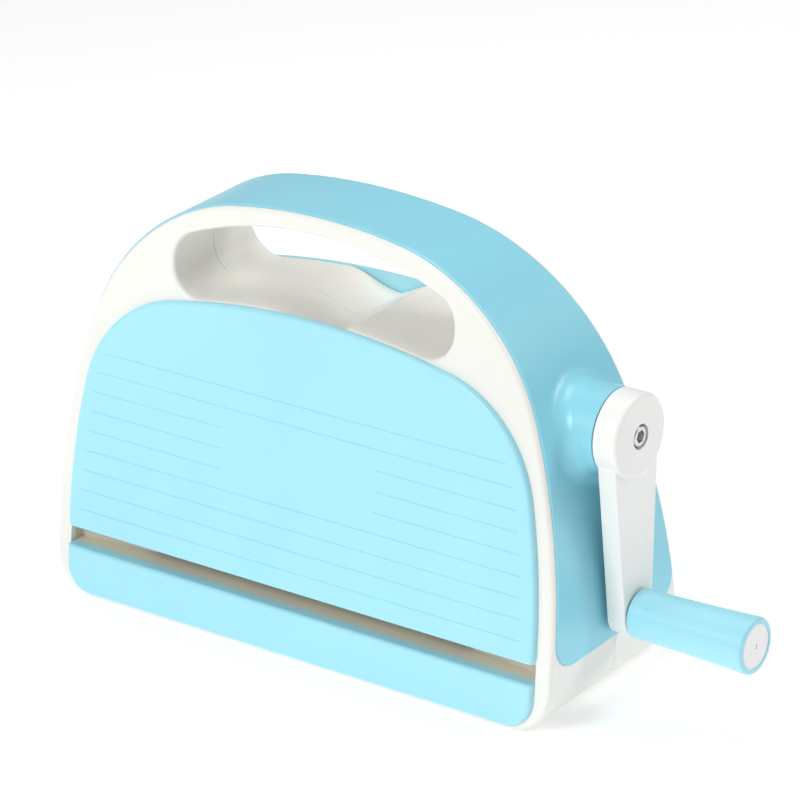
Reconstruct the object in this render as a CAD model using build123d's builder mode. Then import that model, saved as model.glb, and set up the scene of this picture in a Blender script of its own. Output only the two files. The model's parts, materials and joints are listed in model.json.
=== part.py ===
from build123d import *
from math import acos, atan2, cos, degrees, pi, radians, sin, sqrt, tan
import os

# Hand-cranked die cutting machine with an arched housing and a carrying handle opening.
# Millimetres, +Z up, +X towards the crank, -Y is the front. The origin is on the table,
# midway between the two ends and midway between the front and the back.

# ---------------------------------------------------------------- driving dimensions

# housing envelope
foot_lift = 0.3                 # the housing stands this far off the table, on its pad
body_top = 177.2
body_half_width = 120.5
frame_half_depth = 46.6         # at table height; the front and back lean in from here
lean_angle = 8.27
crown_radius = 247.6
crown_end = 9.0                 # slope where the crown arc ends, degrees
shoulder_end = 71.2
side_top = 31.87                 # the side turns vertical at this height
bottom_corner_radius = 19.0
wall = 2.5
frame_edge_radius = 1.6
seam_depth = 0.35               # parting line between the two halves
seam_half_width = 0.15

# outer band
band_proud = 0.8
band_seat_depth = 2.0
band_lip = 2.0                  # from the frame's face back to the band's edge
band_bottom = 25.8
band_tongue_radius = 11.0
band_edge_radius = 0.6
seat_clearance = 0.1

# cover panel and skirt
frame_side = 7.1                # white frame left beside the panel
panel_top = 138.4
panel_crown_radius = 336.6
panel_crown_end = 11.5
panel_shoulder_end = 78.2
panel_side_rise = 3.8           # straight side above the slot, before the side arc
panel_corner_radius = 2.0
panel_proud = 2.6
panel_edge_radius = 1.5
skirt_rim = 2.6                 # white rim left under the skirt
lip_thickness = 1.2             # the skirt's lip over the slot's lower edge
groove_count = 9
groove_top = 104.5
groove_pitch = 8.3
groove_width = 0.5
groove_depth = 0.18
groove_margin = 6.0
label_half_width = 37.0
label_rows = 3
label_first_row = 3

# feed passage
slot_low = 21.6
slot_high = 29.2
mouth_overlap = 0.2             # the mouth is this much wider than the panel on each side
mouth_depth = 5.0
feed_half_width = 77.5
bed_thickness = 2.4
guide_lift = 0.7                # the guides stand this far above the slot's upper edge
cheek = 2.0
cheek_clearance = 0.5           # between a cheek and the side plate behind it
bed_back = 8.5
guide_back = 13.0

# carrying handle opening
handle_half_width = 66.8
handle_bridge = 6.5             # from the handle opening's top to the crown
handle_top_radius = 165.0
handle_end_flat = 0.15          # half the straight part between an end's two roundings
handle_rim_radius = 1.6
floor_lift = 0.2                # handle floor above the panel's top edge
trough_left = -21.0
trough_low_x = 5.0
trough_depth = 6.9              # below the panel's top edge
trough_right = 18.5

# rollers and gears
roller_gap = 7.2
roller_play = 0.6               # lower roller's top above the bed
roller_end_gap = 1.0            # between a roller's face and the side plate
gear_module = 1.0
upper_teeth = 48
lower_teeth = 18
idler_teeth = 34
pinion_teeth = 20
gear_face = 8.0
gear_backlash = 0.16
gear_addendum = 0.95            # in modules
gear_dedendum = 1.25            # in modules
pressure_angle = 20.0
gear_gap = 1.2
gear_hub_length = 6.0
gear_hub_wall = 3.0
roll_pin_radius = 1.2
upper_journal_radius = 6.0
lower_journal_radius = 4.0
journal_tail = 1.0              # shaft past the gear's hub
journal_overhang = 5.0          # shaft past the far side plate
idler_pin_radius = 4.0
idler_pin_tail = 3.0
bush_wall = 2.5
running_fit = 0.05
ring_thickness = 1.2
ring_height = 2.2
ring_gap = 1.3                  # between a ring and the side plate
idler_ring_gap = 0.4

# side plates and tie rods
plate_gap = 2.5                 # between the feed channel and a side plate
plate_thickness = 3.0
plate_half_depth = 30.0
plate_shoulder = 44.0
tall_plate_top = 125.0
tall_plate_top_half_depth = 17.0
short_plate_top = 78.0
short_plate_top_half_depth = 23.0
plate_corner_radius = 6.0
plate_flange = 14.0
tie_rod_places = [(-25.0, 10.5), (25.0, 10.5), (-24.0, 66.0), (24.0, 66.0)]
tie_rod_radius = 4.0
tie_screw_radius = 2.0
tie_screw_length = 12.0
tie_screw_head_radius = 3.6
tie_screw_head = 2.4
screw_hole_spare = 1.0          # a threaded hole is deeper than its screw by this

# crank
crank_height = 111.4
crank_shaft_radius = 5.0
crank_shaft_tail = 6.0          # shaft inside the side plate
boss_radius = 16.8
boss_proud = 1.9                # past the housing's widest line
boss_depth = 22.4
boss_root_radius = 7.0
arm_gap = 0.6
arm_thickness = 7.8
arm_setback = 0.7               # the hub stands this far behind the arm's back
arm_floor = 1.5                 # plastic left around a shaft's blind end
arm_length = 73.2
arm_neck_radius = 15.0
arm_end_radius = 9.4
arm_edge_radius = 1.0
hub_proud = 1.8
hub_edge_radius = 1.8
screw_recess_radius = 5.0
screw_recess_depth = 3.4
washer_thickness = 0.6
crank_screw_radius = 2.0
crank_screw_length = 14.0
crank_screw_head_radius = 4.0
crank_screw_head = 2.6
crank_screw_head_edge = 0.5
crank_screw_hex_radius = 2.6
crank_screw_hex_depth = 2.0

# grip
grip_gap = 0.7
grip_length = 51.5
grip_root_radius = 9.8
grip_tip_radius = 11.3
grip_waist_gain = 0.45          # radius gained at half length
grip_tip_slope = 0.05
grip_edge_radius = 1.4
grip_root_edge_radius = 0.6
spindle_radius = 4.0
spindle_tail = 3.0
spindle_fit = 0.06
grip_ring_gap = 0.6
grip_cap_radius = 8.85
grip_cap_thickness = 1.3
grip_cap_recess = 0.3
grip_pocket_depth = 6.0
grip_pocket_radius = 7.0
gate_mark_radius = 1.1
gate_mark_depth = 0.35

# base, pad and fasteners
base_half_width = 96.0
base_half_depth = 33.0
base_clearance = 0.3
pad_half_width = 90.0
pad_half_depth = 29.0
pad_corner_radius = 8.0
pad_thickness = 1.2
pad_chamfer = 0.3
base_screw_radius = 1.6
base_screw_head_radius = 2.8
base_screw_head = 0.8
base_screw_y = 20.0
housing_screw_rows = [(15.5, 46.0), (19.5, 84.0)]   # (in from the widest line, height)
housing_screw_radius = 1.5
housing_boss_radius = 4.2
housing_screw_seat = 27.0
housing_screw_end = -12.0
housing_screw_head_radius = 2.8
housing_screw_head = 1.8
screw_clearance = 0.15
thread_clearance = 0.05

# ---------------------------------------------------------------- derived places

through = 1.0                   # a cut runs this far past the face it opens
far = 2 * body_half_width
lean = tan(radians(lean_angle))
body_bottom = foot_lift
handle_top = body_top - handle_bridge
trough_low = panel_top - trough_depth
panel_half_width = body_half_width - frame_side
mouth_half_width = panel_half_width + mouth_overlap
panel_side_top = slot_high + panel_side_rise
funnel_back = plate_half_depth + cheek + cheek_clearance
boss_end = body_half_width + boss_proud
boss_inner = boss_end - boss_depth
hub_inner = boss_end + arm_gap
arm_inner = hub_inner + arm_setback
arm_outer = arm_inner + arm_thickness
hub_outer = arm_outer + hub_proud
grip_height = crank_height - arm_length
grip_start = arm_outer + grip_gap
grip_end = grip_start + grip_length
pocket_start = grip_end - grip_pocket_depth

lower_pitch_radius = gear_module * lower_teeth / 2
upper_pitch_radius = gear_module * upper_teeth / 2
idler_pitch_radius = gear_module * idler_teeth / 2
pinion_pitch_radius = gear_module * pinion_teeth / 2
roller_distance = lower_pitch_radius + upper_pitch_radius
lower_roller_radius = (roller_distance - roller_gap) * lower_teeth / (lower_teeth + upper_teeth)
upper_roller_radius = (roller_distance - roller_gap) * upper_teeth / (lower_teeth + upper_teeth)
lower_axis = slot_low + roller_play - lower_roller_radius
upper_axis = lower_axis + roller_distance

# the idler sits off the centre line, where both its meshes have the right centre distance
crank_to_upper = crank_height - upper_axis
crank_to_idler = pinion_pitch_radius + idler_pitch_radius
idler_to_upper = idler_pitch_radius + upper_pitch_radius
idler_drop = (crank_to_upper**2 + crank_to_idler**2 - idler_to_upper**2) / (2 * crank_to_upper)
idler_side = sqrt(crank_to_idler**2 - idler_drop**2)
idler_axis = crank_height - idler_drop

plate_inner = feed_half_width + plate_gap
plate_outer = plate_inner + plate_thickness
gear_start = plate_outer + gear_gap
gear_end = gear_start + gear_face
gear_hub_end = gear_end + gear_hub_length
base_top = body_bottom + wall
guide_bottom = slot_high + guide_lift

crank_centre = (0, crank_height)
upper_centre = (0, upper_axis)
lower_centre = (0, lower_axis)
idler_centre = (idler_side, idler_axis)
grip_centre = (0, grip_height)
housing_screw_places = [
    (side * (body_half_width - inset), height) for inset, height in housing_screw_rows for side in (-1, 1)
]

# directions that the leaning front and back faces look in
outward = Axis((0, 0, 0), (0, -cos(radians(lean_angle)), sin(radians(lean_angle))))
outward_rear = Axis((0, 0, 0), (0, cos(radians(lean_angle)), sin(radians(lean_angle))))


def face_y(height):
    """How far forward the frame's leaning front face stands at a height."""
    return frame_half_depth - lean * height


# ---------------------------------------------------------------- shared profiles


def arch_outline(top, half_width, bottom, corner, crown, shoulder_slope, side_z, inset=0.0):
    """Arch seen from the front: crown, shoulder and side arcs, then a rounded lower corner.

    crown is (radius, end slope). The shoulder and side radii are the two that bring the
    outline to half_width, upright, at height side_z. inset moves the whole outline inwards.
    """
    crown_r, crown_slope = crown
    sin1, cos1 = sin(radians(crown_slope)), cos(radians(crown_slope))
    sin2, cos2 = sin(radians(shoulder_slope)), cos(radians(shoulder_slope))
    run = half_width - crown_r * sin1
    drop = top - side_z - crown_r * (1 - cos1)
    scale = (sin2 - sin1) * cos2 - (1 - sin2) * (cos1 - cos2)
    shoulder_r = (run * cos2 - drop * (1 - sin2)) / scale
    side_r = (drop * (sin2 - sin1) - run * (cos1 - cos2)) / scale
    with BuildSketch(Plane.XZ) as sketch:
        with BuildLine():
            arc1 = JernArc((0, top - inset), (1, 0), crown_r - inset, -crown_slope)
            arc2 = JernArc(arc1 @ 1, arc1 % 1, shoulder_r - inset, crown_slope - shoulder_slope)
            arc3 = JernArc(arc2 @ 1, arc2 % 1, side_r - inset, shoulder_slope - 90)
            side = Line(arc3 @ 1, (half_width - inset, -top))
            Line(side @ 1, (0, -top))
            mirror(about=Plane.YZ)
        make_face()
        with Locations((0, bottom + inset)):
            Rectangle(3 * half_width, 2 * top, align=(Align.CENTER, Align.MIN), mode=Mode.INTERSECT)
        if corner > inset:
            fillet(sketch.vertices().group_by(Axis.Y)[0], radius=corner - inset)
    return sketch.sketch


def body_outline(inset=0.0):
    """The housing's outline, moved inwards by inset."""
    crown = (crown_radius, crown_end)
    return arch_outline(
        body_top, body_half_width, body_bottom, bottom_corner_radius, crown, shoulder_end, side_top, inset
    )


def panel_outline(inset=0.0):
    """The cover panel's outline, moved inwards by inset."""
    crown = (panel_crown_radius, panel_crown_end)
    ends = (panel_shoulder_end, panel_side_top)
    return arch_outline(panel_top, panel_half_width, slot_high, panel_corner_radius, crown, *ends, inset)


def leaning_slab(front_out, back_out):
    """Side profile of a slab parallel to the leaning front face.

    Both offsets count forwards from the frame's face. back_out None ends it at mid depth.
    """
    low = -wall
    high = body_top + wall
    if back_out is None:
        back = [(0, high), (0, low)]
    else:
        back = [(-face_y(high) - back_out, high), (-face_y(low) - back_out, low)]
    with BuildSketch(Plane.YZ) as sketch:
        with BuildLine():
            Polyline((-face_y(low) - front_out, low), (-face_y(high) - front_out, high), *back, close=True)
        make_face()
    return sketch.sketch


def handle_floor(x, grow=0.0):
    """Height of the handle floor's arch, which follows the panel's top edge."""
    arch = panel_crown_radius - grow
    return panel_top + floor_lift - panel_crown_radius + sqrt(arch**2 - x**2)


def handle_opening(grow=0.0):
    """Handle opening from the front: an arched top, round ends and a floor with a trough.

    grow moves the whole outline outwards, which gives the tunnel's outer wall.
    """
    reach = handle_half_width + grow
    arch = handle_top_radius + grow
    end_top = handle_top - handle_top_radius + sqrt(arch**2 - reach**2)
    end_low = handle_floor(reach, grow)
    low = trough_low - grow
    corner = (end_top - end_low) / 2 - handle_end_flat
    left_mid = (trough_left - reach) / 2
    right_mid = (trough_right + reach) / 2
    with BuildSketch(Plane.XZ) as sketch:
        with BuildLine():
            top = ThreePointArc((-reach, end_top), (0, handle_top + grow), (reach, end_top))
            Line(top @ 1, (reach, end_low))
            right_end = (trough_right, handle_floor(trough_right, grow))
            right = ThreePointArc((reach, end_low), (right_mid, handle_floor(right_mid, grow)), right_end)
            rise = Line(right @ 1, (trough_low_x, low))
            left_start = (trough_left, handle_floor(trough_left, grow))
            left = ThreePointArc(left_start, (left_mid, handle_floor(left_mid, grow)), (-reach, end_low))
            Spline(rise @ 1, left @ 0, tangents=[(-1, 0), left % 0])
            Line(left @ 1, top @ 0)
        make_face()
        ends = sketch.vertices().filter_by(lambda v: abs(abs(v.X) - reach) < 0.01)
        fillet(ends, radius=corner)
    return sketch.sketch


def gear_face_sketch(teeth, turn, bore, centre, start):
    """Spur gear seen along X, with one tooth centred on the direction turn (degrees from +Y)."""
    pitch_r = gear_module * teeth / 2
    base_r = pitch_r * cos(radians(pressure_angle))
    tip_r = pitch_r + gear_addendum * gear_module
    root_r = pitch_r - gear_dedendum * gear_module
    start_r = max(base_r, root_r + running_fit)
    half_tooth = (pi * gear_module / 2 - gear_backlash) / 2 / pitch_r

    def involute(radius):
        """Polar angle gained by an involute of the base circle at a radius."""
        ratio = min(1.0, base_r / radius)
        return tan(acos(ratio)) - acos(ratio)

    radii = [start_r, (start_r + pitch_r) / 2, pitch_r, (pitch_r + tip_r) / 2, tip_r]
    flank = [(r, half_tooth + involute(pitch_r) - involute(r)) for r in radii]
    points = []
    for tooth in range(teeth):
        middle = radians(turn) + 2 * pi * tooth / teeth
        rising = [(root_r, flank[0][1])] + flank
        polar = [(r, middle - a) for r, a in rising] + [(r, middle + a) for r, a in reversed(rising)]
        points += [(r * cos(a), r * sin(a)) for r, a in polar]
    with BuildSketch(Plane.YZ.offset(start)) as sketch:
        with Locations(centre):
            Polygon(*points, align=None)
            Circle(bore, mode=Mode.SUBTRACT)
    return sketch.sketch


def meshing_turn(turn, teeth, centre, other_teeth, other_centre):
    """Turn that puts a second gear's teeth in the first gear's gaps."""
    heading = degrees(atan2(other_centre[1] - centre[1], other_centre[0] - centre[0]))
    phase = (turn - heading) * teeth / 360
    return heading + 180 + (0.5 - phase) * 360 / other_teeth


def disc(radius, centre, start, end, bore=0.0):
    """Round bar or ring along X between two stations; centre is (y, z)."""
    with BuildPart() as piece:
        with BuildSketch(Plane.YZ.offset(start)):
            with Locations(centre):
                Circle(radius)
                if bore > 0:
                    Circle(bore, mode=Mode.SUBTRACT)
        extrude(amount=end - start)
    return piece.part


def save(part, name):
    """Label a finished piece and write it to its own file."""
    part.label = name
    export_step(part, f"parts/{name}.step")


os.makedirs("parts", exist_ok=True)

# ---------------------------------------------------------------- cover panels and skirts

with BuildSketch(Plane.XZ) as groove_rows:
    for row in range(groove_count):
        with Locations((0, groove_top - row * groove_pitch)):
            Rectangle(far, groove_width)
    add(panel_outline(groove_margin), mode=Mode.INTERSECT)
    label_middle = groove_top - groove_pitch * (label_first_row - 1 + (label_rows - 1) / 2)
    with Locations((0, label_middle)):
        Rectangle(2 * label_half_width, groove_pitch * label_rows, mode=Mode.SUBTRACT)

with BuildPart() as engraving:
    extrude(groove_rows.sketch, amount=far)
    face_out = panel_proud - groove_depth
    extrude(leaning_slab(panel_proud + through, face_out), amount=far, both=True, mode=Mode.INTERSECT)

with BuildPart() as front_panel:
    extrude(panel_outline(), amount=far)
    extrude(leaning_slab(panel_proud, 0), amount=far, both=True, mode=Mode.INTERSECT)
    fillet(front_panel.faces().sort_by(outward)[-1].edges(), radius=panel_edge_radius)
    add(engraving.part, mode=Mode.SUBTRACT)
save(front_panel.part, "front_panel")

with BuildPart() as rear_panel:
    mirror(front_panel.part, about=Plane.XZ)
save(rear_panel.part, "rear_panel")

skirt_bottom = body_bottom + skirt_rim
skirt_height = slot_low - skirt_bottom
skirt_corner = bottom_corner_radius - (body_half_width - panel_half_width)

with BuildPart() as slot_lip:
    with BuildSketch(Plane.XZ):
        with Locations((0, slot_low - (lip_thickness - seat_clearance) / 2)):
            Rectangle(2 * (mouth_half_width - seat_clearance), lip_thickness - seat_clearance)
    extrude(amount=far)
    extrude(leaning_slab(0, -wall), amount=far, both=True, mode=Mode.INTERSECT)

with BuildPart() as front_skirt:
    with BuildSketch(Plane.XZ) as skirt_face:
        with Locations((0, (slot_low + skirt_bottom) / 2)):
            Rectangle(2 * panel_half_width, skirt_height)
        fillet(skirt_face.vertices().group_by(Axis.Y)[0], radius=skirt_corner)
    extrude(amount=far)
    extrude(leaning_slab(panel_proud, 0), amount=far, both=True, mode=Mode.INTERSECT)
    fillet(front_skirt.faces().sort_by(outward)[-1].edges(), radius=panel_edge_radius)
    add(slot_lip.part)
save(front_skirt.part, "front_skirt")

with BuildPart() as rear_skirt:
    mirror(front_skirt.part, about=Plane.XZ)
save(rear_skirt.part, "rear_skirt")

# ---------------------------------------------------------------- arch band with the crank boss


def band_side(clearance):
    """Side profile of the band: it follows both leaning faces and ends in a rounded tongue."""
    with BuildSketch(Plane.YZ) as sketch:
        low = band_bottom - clearance
        high = body_top + wall
        edge = band_lip - clearance
        with BuildLine():
            Polyline(
                (-face_y(low) + edge, low), (-face_y(high) + edge, high),
                (face_y(high) - edge, high), (face_y(low) - edge, low), close=True,
            )
        make_face()
        fillet(sketch.vertices().group_by(Axis.Y)[0], radius=band_tongue_radius)
    return sketch.sketch


def at_boss_root(edge):
    """True for the curve where the boss leaves the band's outer surface."""
    middle = edge @ 0.5
    reach = sqrt(middle.Y**2 + (middle.Z - crank_height) ** 2)
    on_boss = abs(reach - boss_radius) < 0.01
    return on_boss and middle.X < boss_end - boss_proud / 2 and edge.geom_type != GeomType.LINE


with BuildPart() as arch_band:
    extrude(body_outline(-band_proud), amount=far, both=True)
    extrude(band_side(0), amount=far, both=True, mode=Mode.INTERSECT)
    leaning = [arch_band.faces().sort_by(direction)[-1] for direction in (outward, outward_rear)]
    fillet([edge for face in leaning for edge in face.edges()], radius=band_edge_radius)
    add(disc(boss_radius, crank_centre, 0, boss_end))
    fillet(arch_band.edges().filter_by(at_boss_root), radius=boss_root_radius)
    extrude(body_outline(band_seat_depth), amount=far, both=True, mode=Mode.SUBTRACT)
    add(disc(boss_radius, crank_centre, boss_inner, boss_end))
    bush_seat = disc(crank_shaft_radius + bush_wall, crank_centre, boss_inner - through, boss_end + through)
    add(bush_seat, mode=Mode.SUBTRACT)
save(arch_band.part, "arch_band")

# ---------------------------------------------------------------- housing halves

rim_low = min(trough_low, handle_floor(handle_half_width)) - through

with BuildPart() as housing_cavity:
    extrude(body_outline(band_seat_depth + wall), amount=far)
    extrude(handle_opening(wall), amount=far, mode=Mode.SUBTRACT)
    extrude(leaning_slab(-wall, None), amount=far, both=True, mode=Mode.INTERSECT)

with BuildPart() as band_seat:
    extrude(body_outline(-through), amount=far, both=True)
    extrude(body_outline(band_seat_depth + seat_clearance), amount=far, both=True, mode=Mode.SUBTRACT)
    extrude(band_side(seat_clearance), amount=far, both=True, mode=Mode.INTERSECT)

with BuildPart() as parting_line:
    extrude(body_outline(-through), amount=seam_half_width)
    extrude(body_outline(seam_depth), amount=seam_half_width, mode=Mode.SUBTRACT)
    extrude(handle_opening(seam_depth), amount=seam_half_width)

with BuildPart() as housing_half:
    extrude(body_outline(), amount=far)
    extrude(leaning_slab(0, None), amount=far, both=True, mode=Mode.INTERSECT)
    fillet(housing_half.faces().sort_by(outward)[-1].edges(), radius=frame_edge_radius)
    add(housing_cavity.part, mode=Mode.SUBTRACT)
    add(band_seat.part, mode=Mode.SUBTRACT)
    with BuildSketch(Plane.XZ):
        with Locations(housing_screw_places):
            Circle(housing_boss_radius)
    extrude(amount=face_y(housing_screw_rows[0][1]) - wall / 2)
    extrude(handle_opening(), amount=far, mode=Mode.SUBTRACT)
    with BuildSketch(Plane.XZ):
        with Locations((0, slot_low - lip_thickness)):
            Rectangle(
                2 * mouth_half_width, slot_high - slot_low + lip_thickness, align=(Align.CENTER, Align.MIN)
            )
    extrude(amount=far, mode=Mode.SUBTRACT)
    extrude(leaning_slab(0, None), amount=far, both=True, mode=Mode.INTERSECT)
    with BuildSketch(Plane.XY.offset(body_bottom - through)):
        Rectangle(2 * (base_half_width + base_clearance), 2 * (base_half_depth + base_clearance))
    extrude(amount=band_seat_depth + wall + 2 * through, mode=Mode.SUBTRACT)
    add(disc(boss_radius + seat_clearance, crank_centre, plate_outer, far), mode=Mode.SUBTRACT)
    face_holes = housing_half.faces().sort_by(outward)[-1].inner_wires()
    handle_rim = [edge for hole in face_holes for edge in hole.edges() if (edge @ 0.5).Z > rim_low]
    fillet(handle_rim, radius=handle_rim_radius)
    add(parting_line.part, mode=Mode.SUBTRACT)

with BuildPart() as front_housing:
    add(housing_half.part)
    with BuildSketch(Plane.XZ):
        with Locations(housing_screw_places):
            Circle(housing_screw_radius + thread_clearance)
    extrude(amount=screw_hole_spare - housing_screw_end, mode=Mode.SUBTRACT)
save(front_housing.part, "front_housing")

with BuildPart() as rear_housing:
    mirror(housing_half.part, about=Plane.XZ)
    with BuildSketch(Plane.XZ):
        with Locations(housing_screw_places):
            Circle(housing_screw_radius + screw_clearance)
    extrude(amount=-far, mode=Mode.SUBTRACT)
    with BuildSketch(Plane.XZ.offset(-housing_screw_seat)):
        with Locations(housing_screw_places):
            Circle(housing_screw_head_radius + screw_clearance)
    extrude(amount=-far, mode=Mode.SUBTRACT)
save(rear_housing.part, "rear_housing")

with BuildPart() as housing_screws:
    with BuildSketch(Plane.XZ.offset(-housing_screw_seat)):
        with Locations(housing_screw_places):
            Circle(housing_screw_head_radius)
    extrude(amount=-housing_screw_head)
    with BuildSketch(Plane.XZ.offset(-housing_screw_seat)):
        with Locations(housing_screw_places):
            Circle(housing_screw_radius)
    extrude(amount=housing_screw_seat - housing_screw_end)
save(housing_screws.part, "housing_screws")

# ---------------------------------------------------------------- base, pad and side plates

base_screw_x = plate_inner - plate_flange / 2
base_screw_places = [(x, y) for x in (-base_screw_x, base_screw_x) for y in (-base_screw_y, base_screw_y)]


def pad_outline(clearance):
    """Plan of the non-slip pad under the base."""
    with BuildSketch() as sketch:
        RectangleRounded(
            2 * (pad_half_width + clearance), 2 * (pad_half_depth + clearance), pad_corner_radius + clearance
        )
    return sketch.sketch


with BuildPart() as base_plate:
    with BuildSketch(Plane.XY.offset(body_bottom)):
        Rectangle(2 * base_half_width, 2 * base_half_depth)
    extrude(amount=wall)
    extrude(pad_outline(screw_clearance), amount=pad_thickness, mode=Mode.SUBTRACT)
    with BuildSketch(Plane.XY.offset(pad_thickness)):
        with Locations(base_screw_places):
            Circle(base_screw_radius + screw_clearance)
    extrude(amount=wall, mode=Mode.SUBTRACT)
    with BuildSketch(Plane.XY.offset(pad_thickness)):
        with Locations(base_screw_places):
            Circle(base_screw_head_radius + screw_clearance)
    extrude(amount=base_screw_head, mode=Mode.SUBTRACT)
save(base_plate.part, "base_plate")

with BuildPart() as base_pad:
    extrude(pad_outline(0), amount=pad_thickness)
    chamfer(base_pad.edges().group_by(Axis.Z)[0], length=pad_chamfer)
save(base_pad.part, "base_pad")

with BuildPart() as base_screws:
    with BuildSketch(Plane.XY.offset(pad_thickness)):
        with Locations(base_screw_places):
            Circle(base_screw_head_radius)
    extrude(amount=base_screw_head)
    with BuildSketch(Plane.XY.offset(pad_thickness)):
        with Locations(base_screw_places):
            Circle(base_screw_radius)
    extrude(amount=base_top + plate_thickness - pad_thickness)
save(base_screws.part, "base_screws")


def side_plate(side, tall):
    """Steel side plate with an inward foot flange; side is +1 at the crank end."""
    top = tall_plate_top if tall else short_plate_top
    top_half = tall_plate_top_half_depth if tall else short_plate_top_half_depth
    start = plate_inner if side > 0 else -plate_outer
    with BuildPart() as piece:
        with BuildSketch(Plane.YZ.offset(start)) as face:
            with BuildLine():
                Polyline(
                    (-plate_half_depth, base_top), (-plate_half_depth, plate_shoulder), (-top_half, top),
                    (top_half, top), (plate_half_depth, plate_shoulder), (plate_half_depth, base_top),
                    close=True,
                )
            make_face()
            fillet(face.vertices().group_by(Axis.Y)[-1], radius=plate_corner_radius)
        extrude(amount=plate_thickness)
        with BuildSketch(Plane.XY.offset(base_top)):
            with Locations((side * base_screw_x, 0)):
                Rectangle(plate_flange, 2 * plate_half_depth)
        extrude(amount=plate_thickness)
        with BuildSketch(Plane.XY.offset(base_top)):
            with Locations([(side * base_screw_x, y) for y in (-base_screw_y, base_screw_y)]):
                Circle(base_screw_radius + screw_clearance)
        extrude(amount=plate_thickness, mode=Mode.SUBTRACT)
        for centre, radius in side_plate_bores(tall):
            bore = disc(radius, centre, start - through, start + plate_thickness + through)
            add(bore, mode=Mode.SUBTRACT)
    return piece.part


def side_plate_bores(tall):
    """Every round hole in a side plate as (centre, radius)."""
    journals = [(upper_centre, upper_journal_radius), (lower_centre, lower_journal_radius)]
    bores = [(centre, journal + bush_wall) for centre, journal in journals]
    bores += [(place, tie_screw_radius + screw_clearance) for place in tie_rod_places]
    if tall:
        bores += [(crank_centre, crank_shaft_radius + bush_wall), (idler_centre, idler_pin_radius)]
    return bores


save(side_plate(-1, False), "left_side_plate")
save(side_plate(1, True), "right_side_plate")

tie_hole_depth = tie_screw_length - plate_thickness + screw_hole_spare

for number, place in enumerate(tie_rod_places, start=1):
    with BuildPart() as tie_rod:
        add(disc(tie_rod_radius, place, -plate_inner, plate_inner))
        for start in (-plate_inner, plate_inner - tie_hole_depth):
            add(disc(tie_screw_radius, place, start, start + tie_hole_depth), mode=Mode.SUBTRACT)
    save(tie_rod.part, f"tie_rod_{number}")

with BuildPart() as tie_rod_screws:
    for side in (-1, 1):
        head_start = plate_outer if side > 0 else -plate_outer - tie_screw_head
        shank_start = plate_outer - tie_screw_length if side > 0 else -plate_outer
        for place in tie_rod_places:
            add(disc(tie_screw_head_radius, place, head_start, head_start + tie_screw_head))
            add(disc(tie_screw_radius, place, shank_start, shank_start + tie_screw_length))
save(tie_rod_screws.part, "tie_rod_screws")

# ---------------------------------------------------------------- feed beds and upper guides


def channel_plan(back, margin, low):
    """Plan of the feed channel: a wide straight mouth, a funnel, then straight to the rollers."""
    front = face_y(low) - wall
    step = front - mouth_depth - margin
    mouth = mouth_half_width + margin
    feed = feed_half_width + margin
    with BuildSketch(Plane.XY.offset(low)) as sketch:
        with BuildLine():
            Polyline(
                (-mouth, -front), (-mouth, -step), (-feed, margin - funnel_back), (-feed, -back),
                (feed, -back), (feed, margin - funnel_back), (mouth, -step), (mouth, -front), close=True,
            )
        make_face()
    return sketch.sketch


with BuildPart() as front_feed_bed:
    bed_bottom = slot_low - bed_thickness
    extrude(channel_plan(bed_back, cheek, bed_bottom), amount=guide_bottom - bed_bottom)
    extrude(channel_plan(bed_back, 0, slot_low), amount=guide_bottom - slot_low, mode=Mode.SUBTRACT)
    extrude(leaning_slab(-wall, None), amount=far, both=True, mode=Mode.INTERSECT)
save(front_feed_bed.part, "front_feed_bed")

with BuildPart() as rear_feed_bed:
    mirror(front_feed_bed.part, about=Plane.XZ)
save(rear_feed_bed.part, "rear_feed_bed")

with BuildPart() as front_upper_guide:
    extrude(channel_plan(guide_back, cheek, guide_bottom), amount=bed_thickness)
    extrude(leaning_slab(-wall, None), amount=far, both=True, mode=Mode.INTERSECT)
save(front_upper_guide.part, "front_upper_guide")

with BuildPart() as rear_upper_guide:
    mirror(front_upper_guide.part, about=Plane.XZ)
save(rear_upper_guide.part, "rear_upper_guide")

# ---------------------------------------------------------------- rollers, gears and crank shaft


def roller(radius, journal, centre, hub_radius):
    """Roller with a journal at each end; the crank-side journal carries its gear's roll pin."""
    face_end = plate_inner - roller_end_gap
    with BuildPart() as piece:
        add(disc(radius, centre, -face_end, face_end))
        add(disc(journal, centre, -plate_outer - journal_overhang, gear_hub_end + journal_tail))
        add(pin_hole(centre, hub_radius), mode=Mode.SUBTRACT)
    return piece.part


def pin_hole(centre, hub_radius):
    """Roll pin that runs up through a gear's hub and its shaft."""
    with BuildPart() as piece:
        with BuildSketch(Plane.XY.offset(centre[1] - hub_radius)):
            with Locations(((gear_end + gear_hub_end) / 2, centre[0])):
                Circle(roll_pin_radius)
        extrude(amount=2 * hub_radius)
    return piece.part


def gear(teeth, turn, centre, bore, hub_radius):
    """Spur gear with a hub on its outer face; a hub radius of zero leaves the hub out."""
    with BuildPart() as piece:
        extrude(gear_face_sketch(teeth, turn, bore, centre, gear_start), amount=gear_face)
        if hub_radius > 0:
            add(disc(hub_radius, centre, gear_end, gear_hub_end, bore))
            add(pin_hole(centre, hub_radius), mode=Mode.SUBTRACT)
    return piece.part


def retaining_ring(shaft_radius, centre, start):
    """Ring that stops a shaft or a gear from moving along X."""
    return disc(shaft_radius + ring_height, centre, start, start + ring_thickness, shaft_radius)


upper_hub = upper_journal_radius + gear_hub_wall
lower_hub = lower_journal_radius + gear_hub_wall
pinion_hub = crank_shaft_radius + gear_hub_wall

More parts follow.
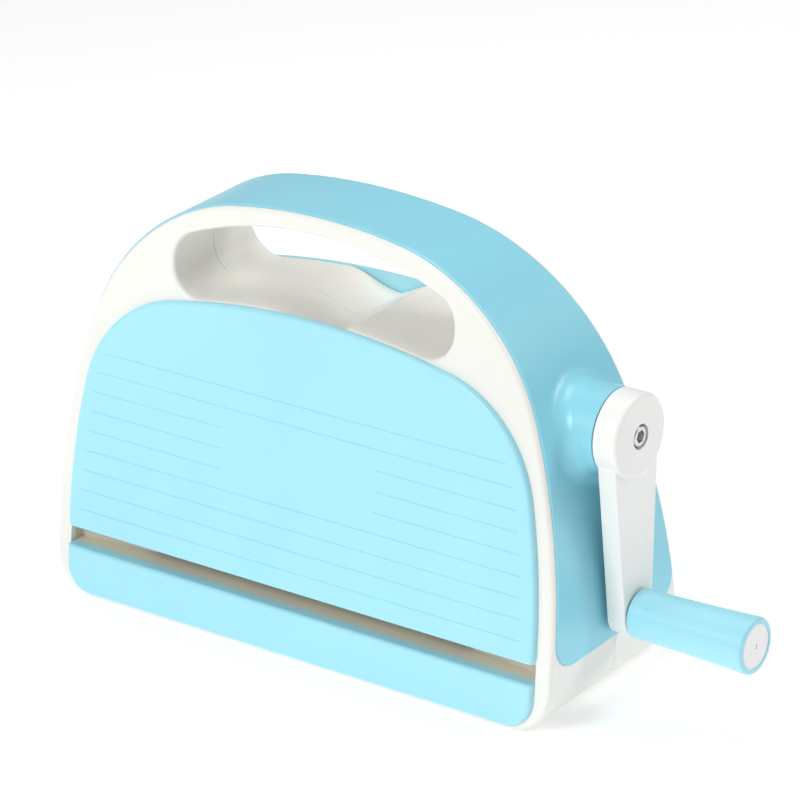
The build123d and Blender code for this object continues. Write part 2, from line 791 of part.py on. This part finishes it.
pinion_turn = 0.0
idler_turn = meshing_turn(pinion_turn, pinion_teeth, crank_centre, idler_teeth, idler_centre)
upper_turn = meshing_turn(idler_turn, idler_teeth, idler_centre, upper_teeth, upper_centre)
lower_turn = meshing_turn(upper_turn, upper_teeth, upper_centre, lower_teeth, lower_centre)

save(roller(upper_roller_radius, upper_journal_radius, upper_centre, upper_hub), "upper_roller")
save(roller(lower_roller_radius, lower_journal_radius, lower_centre, lower_hub), "lower_roller")
save(gear(upper_teeth, upper_turn, upper_centre, upper_journal_radius, upper_hub), "upper_roller_gear")
save(gear(lower_teeth, lower_turn, lower_centre, lower_journal_radius, lower_hub), "lower_roller_gear")
save(gear(pinion_teeth, pinion_turn, crank_centre, crank_shaft_radius, pinion_hub), "crank_pinion")
save(gear(idler_teeth, idler_turn, idler_centre, idler_pin_radius + running_fit, 0), "idler_gear")
save(pin_hole(upper_centre, upper_hub), "upper_gear_pin")
save(pin_hole(lower_centre, lower_hub), "lower_gear_pin")
save(pin_hole(crank_centre, pinion_hub), "crank_pinion_pin")

save(disc(idler_pin_radius, idler_centre, plate_inner, gear_end + idler_pin_tail), "idler_pin")
save(retaining_ring(idler_pin_radius, idler_centre, gear_end + idler_ring_gap), "idler_ring")


def plate_bushes(journal, centre):
    """Bushes for one journal in both side plates."""
    with BuildPart() as piece:
        for start in (-plate_outer, plate_inner):
            add(disc(journal + bush_wall, centre, start, start + plate_thickness, journal + running_fit))
    return piece.part


save(plate_bushes(upper_journal_radius, upper_centre), "upper_roller_bushes")
save(plate_bushes(lower_journal_radius, lower_centre), "lower_roller_bushes")

ring_step = ring_gap + ring_thickness
save(retaining_ring(upper_journal_radius, upper_centre, -plate_outer - ring_step), "upper_roller_ring")
save(retaining_ring(lower_journal_radius, lower_centre, -plate_outer - ring_step), "lower_roller_ring")

bush_outer = crank_shaft_radius + bush_wall
bush_bore = crank_shaft_radius + running_fit
save(disc(bush_outer, crank_centre, plate_inner, plate_outer, bush_bore), "crank_plate_bush")
save(disc(bush_outer, crank_centre, boss_inner, boss_end, bush_bore), "crank_boss_bush")
save(retaining_ring(crank_shaft_radius, crank_centre, plate_inner - ring_step), "crank_ring")

recess_floor = hub_outer - screw_recess_depth
shaft_end = recess_floor - arm_floor
screw_tip = shaft_end - crank_screw_length

with BuildPart() as crank_shaft:
    add(disc(crank_shaft_radius, crank_centre, plate_inner - crank_shaft_tail, shaft_end))
    add(pin_hole(crank_centre, pinion_hub), mode=Mode.SUBTRACT)
    add(disc(crank_screw_radius, crank_centre, screw_tip - screw_hole_spare, shaft_end), mode=Mode.SUBTRACT)
save(crank_shaft.part, "crank_shaft")

# ---------------------------------------------------------------- crank arm and grip

with BuildPart() as hub:
    add(disc(boss_radius, crank_centre, hub_inner, hub_outer))
    fillet(hub.edges().sort_by(Axis.X)[-1], radius=hub_edge_radius)

with BuildPart() as crank_arm:
    with BuildSketch(Plane.YZ.offset(arm_inner)):
        with Locations(crank_centre):
            Circle(arm_neck_radius)
        with Locations(grip_centre):
            Circle(arm_end_radius)
        make_hull()
    extrude(amount=arm_thickness)
    fillet(crank_arm.faces().sort_by(Axis.X)[-1].edges(), radius=arm_edge_radius)
    add(hub.part)
    add(disc(screw_recess_radius, crank_centre, recess_floor, hub_outer + through), mode=Mode.SUBTRACT)
    add(disc(crank_shaft_radius, crank_centre, hub_inner - through, shaft_end), mode=Mode.SUBTRACT)
    add(disc(crank_screw_radius + screw_clearance, crank_centre, hub_inner, hub_outer), mode=Mode.SUBTRACT)
    add(disc(spindle_radius, grip_centre, arm_inner + arm_floor, hub_outer), mode=Mode.SUBTRACT)
save(crank_arm.part, "crank_arm")

washer_outer = screw_recess_radius - screw_clearance
washer_bore = crank_screw_radius + screw_clearance
head_start = recess_floor + washer_thickness
head_end = head_start + crank_screw_head
save(disc(washer_outer, crank_centre, recess_floor, head_start, washer_bore), "crank_washer")

with BuildPart() as crank_screw:
    add(disc(crank_screw_radius, crank_centre, screw_tip, head_start))
    add(disc(crank_screw_head_radius, crank_centre, head_start, head_end))
    fillet(crank_screw.edges().sort_by(Axis.X)[-1], radius=crank_screw_head_edge)
    with BuildSketch(Plane.YZ.offset(head_end - crank_screw_hex_depth)):
        with Locations(crank_centre):
            RegularPolygon(crank_screw_hex_radius, 6)
    extrude(amount=crank_screw_hex_depth, mode=Mode.SUBTRACT)
save(crank_screw.part, "crank_screw")

save(disc(spindle_radius, grip_centre, arm_inner + arm_floor, pocket_start + spindle_tail), "grip_spindle")
save(retaining_ring(spindle_radius, grip_centre, pocket_start + grip_ring_gap), "grip_ring")


def outer_vertices(sketch):
    """Vertices on the grip's outer profile, from the arm outwards."""
    outside = sketch.vertices().filter_by(lambda v: v.Y > grip_height + spindle_radius)
    return outside.sort_by(Axis.X)


with BuildPart() as grip:
    with BuildSketch(Plane.XZ) as grip_half:
        root = (grip_start, grip_height + grip_root_radius)
        waist = ((grip_start + grip_end) / 2, grip_height + grip_root_radius + grip_waist_gain)
        tip = (grip_end, grip_height + grip_tip_radius)
        with BuildLine():
            Spline(root, waist, tip, tangents=[(1, 0), (1, grip_tip_slope)])
            Polyline(tip, (grip_end, grip_height), (grip_start, grip_height), root)
        make_face()
        fillet(outer_vertices(grip_half)[-1], radius=grip_edge_radius)
        fillet(outer_vertices(grip_half)[0], radius=grip_root_edge_radius)
    revolve(axis=Axis((0, 0, grip_height), (1, 0, 0)))
    spindle_bore = disc(spindle_radius + spindle_fit, grip_centre, grip_start - through, grip_end + through)
    add(spindle_bore, mode=Mode.SUBTRACT)
    add(disc(grip_pocket_radius, grip_centre, pocket_start, grip_end + through), mode=Mode.SUBTRACT)
    cap_start = grip_end - grip_cap_recess - grip_cap_thickness
    add(disc(grip_cap_radius, grip_centre, cap_start, grip_end + through), mode=Mode.SUBTRACT)
save(grip.part, "grip")

with BuildPart() as grip_cap:
    cap_end = cap_start + grip_cap_thickness
    add(disc(grip_cap_radius, grip_centre, cap_start, cap_end))
    add(disc(gate_mark_radius, grip_centre, cap_end - gate_mark_depth, cap_end + through), mode=Mode.SUBTRACT)
save(grip_cap.part, "grip_cap")
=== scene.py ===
import json
import math

import bpy
from mathutils import Matrix, Vector


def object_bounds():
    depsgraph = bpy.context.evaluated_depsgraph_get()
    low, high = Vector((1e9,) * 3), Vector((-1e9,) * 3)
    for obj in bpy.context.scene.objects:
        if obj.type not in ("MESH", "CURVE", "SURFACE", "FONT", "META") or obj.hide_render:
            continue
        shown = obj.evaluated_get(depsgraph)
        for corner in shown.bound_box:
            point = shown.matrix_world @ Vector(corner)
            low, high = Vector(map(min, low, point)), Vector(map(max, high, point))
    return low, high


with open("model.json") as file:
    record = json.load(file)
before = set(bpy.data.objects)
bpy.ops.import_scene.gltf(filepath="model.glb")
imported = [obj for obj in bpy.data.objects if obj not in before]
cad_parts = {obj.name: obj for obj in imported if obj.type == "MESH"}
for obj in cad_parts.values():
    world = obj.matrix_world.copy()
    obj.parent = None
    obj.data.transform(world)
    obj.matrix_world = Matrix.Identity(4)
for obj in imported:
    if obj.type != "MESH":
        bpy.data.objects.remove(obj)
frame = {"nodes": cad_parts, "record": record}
cad_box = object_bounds()

# ------------------------------------------------------------------ camera

CAMERA_AZIMUTH = math.radians(37.13)
CAMERA_ELEVATION = math.radians(23.90)
CAMERA_ROLL = math.radians(-1.98)
CAMERA_DISTANCE = 1.648
CAMERA_TARGET = Vector((0.0221, 0.0, 0.0999))
CAMERA_LENS = 192.4
CAMERA_SENSOR = 36.0
CLIP_NEAR = 0.05
CLIP_FAR = 20.0


def make_camera():
    """Long lens from the front and the crank end, a little above, with a slight roll."""
    a, e = CAMERA_AZIMUTH, CAMERA_ELEVATION
    back = Vector((math.sin(a) * math.cos(e), -math.cos(a) * math.cos(e), math.sin(e)))
    right = Vector((math.cos(a), math.sin(a), 0))
    up = back.cross(right)
    c, s = math.cos(CAMERA_ROLL), math.sin(CAMERA_ROLL)
    right, up = c * right + s * up, c * up - s * right
    data = bpy.data.cameras.new("camera")
    data.lens = CAMERA_LENS
    data.sensor_width = CAMERA_SENSOR
    data.clip_start = CLIP_NEAR
    data.clip_end = CLIP_FAR
    camera = bpy.data.objects.new("camera", data)
    bpy.context.scene.collection.objects.link(camera)
    turn = Matrix((right, up, back)).transposed().to_4x4()
    camera.matrix_world = Matrix.Translation(CAMERA_TARGET + back * CAMERA_DISTANCE) @ turn
    bpy.context.scene.camera = camera


make_camera()

# ------------------------------------------------------------------ studio

AIM = (0.0, 0.0, 0.08)
WORLD_STRENGTH = 0.32
SOFTBOXES = [  # name, place, size in metres, power in watts
    ("key", (-0.3, -1.5, 1.0), 0.7, 15.0),
    ("top", (-0.1, 0.2, 1.6), 0.8, 7.5),
    ("side", (1.0, 0.75, 1.15), 0.45, 6.8),
]
FLOOR_REACH = 6.0
FLOOR_WHITE = (0.88, 0.88, 0.88, 1)
FLOOR_ROUGHNESS = 0.65
FLOOR_GLOW = 0.32


def area_light(name, place, size, power):
    """Square white softbox aimed at the machine."""
    data = bpy.data.lights.new(name, "AREA")
    data.shape = "SQUARE"
    data.size = size
    data.energy = power
    light = bpy.data.objects.new(name, data)
    bpy.context.scene.collection.objects.link(light)
    place = Vector(place)
    aim = Vector(AIM) - place
    light.matrix_world = Matrix.Translation(place) @ aim.to_track_quat("-Z", "Y").to_matrix().to_4x4()


def make_studio():
    """White surroundings, a pale floor and three softboxes."""
    world = bpy.data.worlds.new("studio")
    bpy.context.scene.world = world
    world.use_nodes = True
    background = world.node_tree.nodes["Background"]
    background.inputs["Color"].default_value = (1.0, 1.0, 1.0, 1)
    background.inputs["Strength"].default_value = WORLD_STRENGTH
    for softbox in SOFTBOXES:
        area_light(*softbox)

    mesh = bpy.data.meshes.new("floor")
    reach, low = FLOOR_REACH, cad_box[0].z
    corners = [(-reach, -reach, low), (reach, -reach, low), (reach, reach, low), (-reach, reach, low)]
    mesh.from_pydata(corners, [], [(0, 1, 2, 3)])
    floor = bpy.data.objects.new("floor", mesh)
    bpy.context.scene.collection.objects.link(floor)
    material = bpy.data.materials.new("floor_white")
    material.use_nodes = True
    shader = material.node_tree.nodes["Principled BSDF"]
    shader.inputs["Base Color"].default_value = FLOOR_WHITE
    shader.inputs["Roughness"].default_value = FLOOR_ROUGHNESS
    shader.inputs["Emission Color"].default_value = (1, 1, 1, 1)
    shader.inputs["Emission Strength"].default_value = FLOOR_GLOW
    mesh.materials.append(material)


make_studio()
bpy.context.scene.view_settings.view_transform = "Standard"

# ------------------------------------------------------------------ materials


class Nodes:
    """Short names for building one material's node tree."""

    def __init__(self, name):
        self.material = bpy.data.materials.new(name)
        self.material.use_nodes = True
        self.tree = self.material.node_tree
        self.shader = self.tree.nodes["Principled BSDF"]
        self.coordinates = self.tree.nodes.new("ShaderNodeTexCoord").outputs["Object"]

    def link(self, output, socket):
        self.tree.links.new(output, socket)

    def noise(self, scale, detail=3.0, roughness=0.5, stretch=(1, 1, 1)):
        """Noise in object space; scale counts cells per metre."""
        mapping = self.tree.nodes.new("ShaderNodeMapping")
        mapping.inputs["Scale"].default_value = stretch
        self.link(self.coordinates, mapping.inputs["Vector"])
        noise = self.tree.nodes.new("ShaderNodeTexNoise")
        noise.inputs["Scale"].default_value = scale
        noise.inputs["Detail"].default_value = detail
        noise.inputs["Roughness"].default_value = roughness
        self.link(mapping.outputs["Vector"], noise.inputs["Vector"])
        return noise.outputs["Fac"]

    def remap(self, value, low_in, high_in, low_out, high_out):
        """Linear map of a value, clamped to the output range."""
        node = self.tree.nodes.new("ShaderNodeMapRange")
        for socket, number in zip(node.inputs[1:5], (low_in, high_in, low_out, high_out)):
            socket.default_value = number
        self.link(value, node.inputs[0])
        return node.outputs[0]

    def mix(self, factor, first, second):
        """Colour mix; each colour is a tuple or an output."""
        node = self.tree.nodes.new("ShaderNodeMix")
        node.data_type = "RGBA"
        for socket, colour in ((node.inputs[6], first), (node.inputs[7], second)):
            if isinstance(colour, tuple):
                socket.default_value = (*colour, 1)
            else:
                self.link(colour, socket)
        self.link(factor, node.inputs[0])
        return node.outputs[2]

    def add(self, first, second, share):
        """first plus share times second."""
        node = self.tree.nodes.new("ShaderNodeMath")
        node.operation = "MULTIPLY_ADD"
        self.link(second, node.inputs[0])
        node.inputs[1].default_value = share
        self.link(first, node.inputs[2])
        return node.outputs[0]

    def edge_highlight_mask(self):
        """Mask for the painted edge highlight: high on the outward edges of the mesh, low on its faces and
        in its hollows.
        """
        geometry = self.tree.nodes.new("ShaderNodeNewGeometry")
        return self.remap(geometry.outputs["Pointiness"], 0.52, 0.62, 0.0, 1.0)

    def multiply(self, first, second):
        """Product of two values."""
        node = self.tree.nodes.new("ShaderNodeMath")
        node.operation = "MULTIPLY"
        self.link(first, node.inputs[0])
        self.link(second, node.inputs[1])
        return node.outputs[0]

    def bump(self, height, distance):
        """Surface relief, distance metres deep."""
        node = self.tree.nodes.new("ShaderNodeBump")
        node.inputs["Distance"].default_value = distance
        self.link(height, node.inputs["Height"])
        self.link(node.outputs["Normal"], self.shader.inputs["Normal"])


def moulded_plastic(name, colour, roughness=0.34, grain=2600.0, grain_depth=0.00001, coat=0.12, flow=0.035):
    """Injection-moulded plastic: fine spark-eroded grain, faint flow clouds, slightly uneven gloss and a
    painted highlight on the outward edges.
    """
    nodes = Nodes(name)
    clouds = nodes.noise(11.0, 4.0, 0.55)
    streaks = nodes.noise(34.0, 2.0, 0.5, (1, 1, 0.25))
    cloudy = nodes.remap(nodes.add(clouds, streaks, 0.35), 0.45, 0.9, 0.0, 1.0)
    dark = tuple(channel * (1 - flow) for channel in colour)
    light = tuple(min(1.0, channel * (1 + flow * 0.6) + 0.004) for channel in colour)
    base = nodes.mix(cloudy, dark, light)
    # Painted highlight: the outward edges are lightened toward white in noisy patches.
    highlight_colour = tuple(channel + (1 - channel) * 0.16 for channel in colour)
    edge_highlight = nodes.edge_highlight_mask()
    highlight_patches = nodes.remap(nodes.noise(26.0, 5.0, 0.65), 0.42, 0.72, 0.0, 0.55)
    painted_edge_highlight = nodes.multiply(edge_highlight, highlight_patches)
    nodes.link(nodes.mix(painted_edge_highlight, base, highlight_colour), nodes.shader.inputs["Base Color"])
    patches = nodes.noise(55.0, 3.0, 0.6)
    rub_marks = nodes.noise(420.0, 2.0, 0.6, (0.06, 1, 1))
    gloss = nodes.add(patches, rub_marks, 0.3)
    uneven = nodes.remap(gloss, 0.45, 0.85, roughness - 0.04, roughness + 0.05)
    nodes.link(uneven, nodes.shader.inputs["Roughness"])
    fine = nodes.noise(grain, 2.0, 0.6)
    waves = nodes.noise(60.0, 1.0, 0.4)
    nodes.bump(nodes.add(fine, waves, 0.8), grain_depth)
    nodes.shader.inputs["Coat Weight"].default_value = coat
    nodes.shader.inputs["Coat Roughness"].default_value = 0.25
    nodes.shader.inputs["IOR"].default_value = 1.5
    nodes.shader.inputs["Subsurface Weight"].default_value = 0.08
    nodes.shader.inputs["Subsurface Radius"].default_value = (0.002, 0.002, 0.002)
    return nodes.material


def metal(name, colour, roughness, stretch, grain=900.0, depth=0.000004):
    """Machined or plated metal with a directional grain; stretch lowers the grain's scale along an axis."""
    nodes = Nodes(name)
    brushed = nodes.noise(grain, 3.0, 0.6, stretch)
    stain = nodes.noise(40.0, 3.0, 0.55)
    dark = tuple(channel * 0.86 for channel in colour)
    stained = nodes.mix(nodes.remap(stain, 0.3, 0.7, 0, 1), dark, colour)
    nodes.link(stained, nodes.shader.inputs["Base Color"])
    spread = nodes.add(brushed, stain, 0.5)
    uneven = nodes.remap(spread, 0.5, 1.0, roughness - 0.06, roughness + 0.1)
    nodes.link(uneven, nodes.shader.inputs["Roughness"])
    nodes.bump(brushed, depth)
    nodes.shader.inputs["Metallic"].default_value = 1.0
    return nodes.material


def rubber(name, colour):
    """Matt rubber with a pebbled surface and a little dust."""
    nodes = Nodes(name)
    dust = nodes.noise(120.0, 4.0, 0.6)
    pale = tuple(channel + 0.05 for channel in colour)
    dusty = nodes.mix(nodes.remap(dust, 0.45, 0.75, 0, 1), colour, pale)
    nodes.link(dusty, nodes.shader.inputs["Base Color"])
    nodes.link(nodes.remap(dust, 0.3, 0.7, 0.7, 0.9), nodes.shader.inputs["Roughness"])
    nodes.bump(nodes.noise(1400.0, 2.0, 0.5), 0.00006)
    return nodes.material


WHITE = (0.88, 0.872, 0.825)
BLUE = (0.385, 0.795, 0.925)
# Painted shade: the band's blue is a darker copy of the panel blue, standing in for the shade on the band's
# sides.
SHADED_BLUE_BAND = (0.285, 0.70, 0.84)
BLUE_GRIP = (0.375, 0.775, 0.90)

MATERIALS = {
    "white_shell": moulded_plastic("white_shell", WHITE, 0.36),
    # Painted shade: the inner walls are a darker, warmer copy of the white shell, standing in for the shade
    # and warm bounce light inside the opening.
    "inner_white": moulded_plastic("inner_white", (0.72, 0.67, 0.56), 0.45),
    # Painted light: the arm is a lighter copy of the white shell, standing in for stronger light on its
    # side face.
    "white_arm": moulded_plastic("white_arm", (0.93, 0.93, 0.905), 0.36),
    "white_cap": moulded_plastic("white_cap", (0.88, 0.895, 0.89), 0.3),
    "blue_shell": moulded_plastic("blue_shell", SHADED_BLUE_BAND, 0.33),
    "blue_panel": moulded_plastic("blue_panel", BLUE, 0.36),
    "blue_grip": moulded_plastic("blue_grip", BLUE_GRIP, 0.3),
    "foot_rubber": rubber("foot_rubber", (0.03, 0.03, 0.032)),
    "zinc_sheet": metal("zinc_sheet", (0.62, 0.63, 0.64), 0.38, (1, 1, 0.1)),
    "zinc_steel": metal("zinc_steel", (0.66, 0.67, 0.68), 0.3, (0.1, 1, 1)),
    "screw_steel": metal("screw_steel", (0.66, 0.67, 0.68), 0.2, (0.1, 1, 1)),
    "roller_steel": metal("roller_steel", (0.60, 0.61, 0.63), 0.24, (0.05, 1, 1)),
    "gear_steel": metal("gear_steel", (0.42, 0.43, 0.45), 0.34, (1, 1, 0.3)),
    "ring_steel": metal("ring_steel", (0.12, 0.12, 0.13), 0.45, (1, 1, 1)),
    "bush_bronze": metal("bush_bronze", (0.55, 0.38, 0.19), 0.4, (1, 1, 1)),
}


def paint_nodes():
    """Every CAD node gets its slot's material."""
    for part in frame["record"]["subparts"]:
        node = frame["nodes"][part["node"]]
        node.data.materials.clear()
        node.data.materials.append(MATERIALS[part["material_slot"]])


paint_nodes()
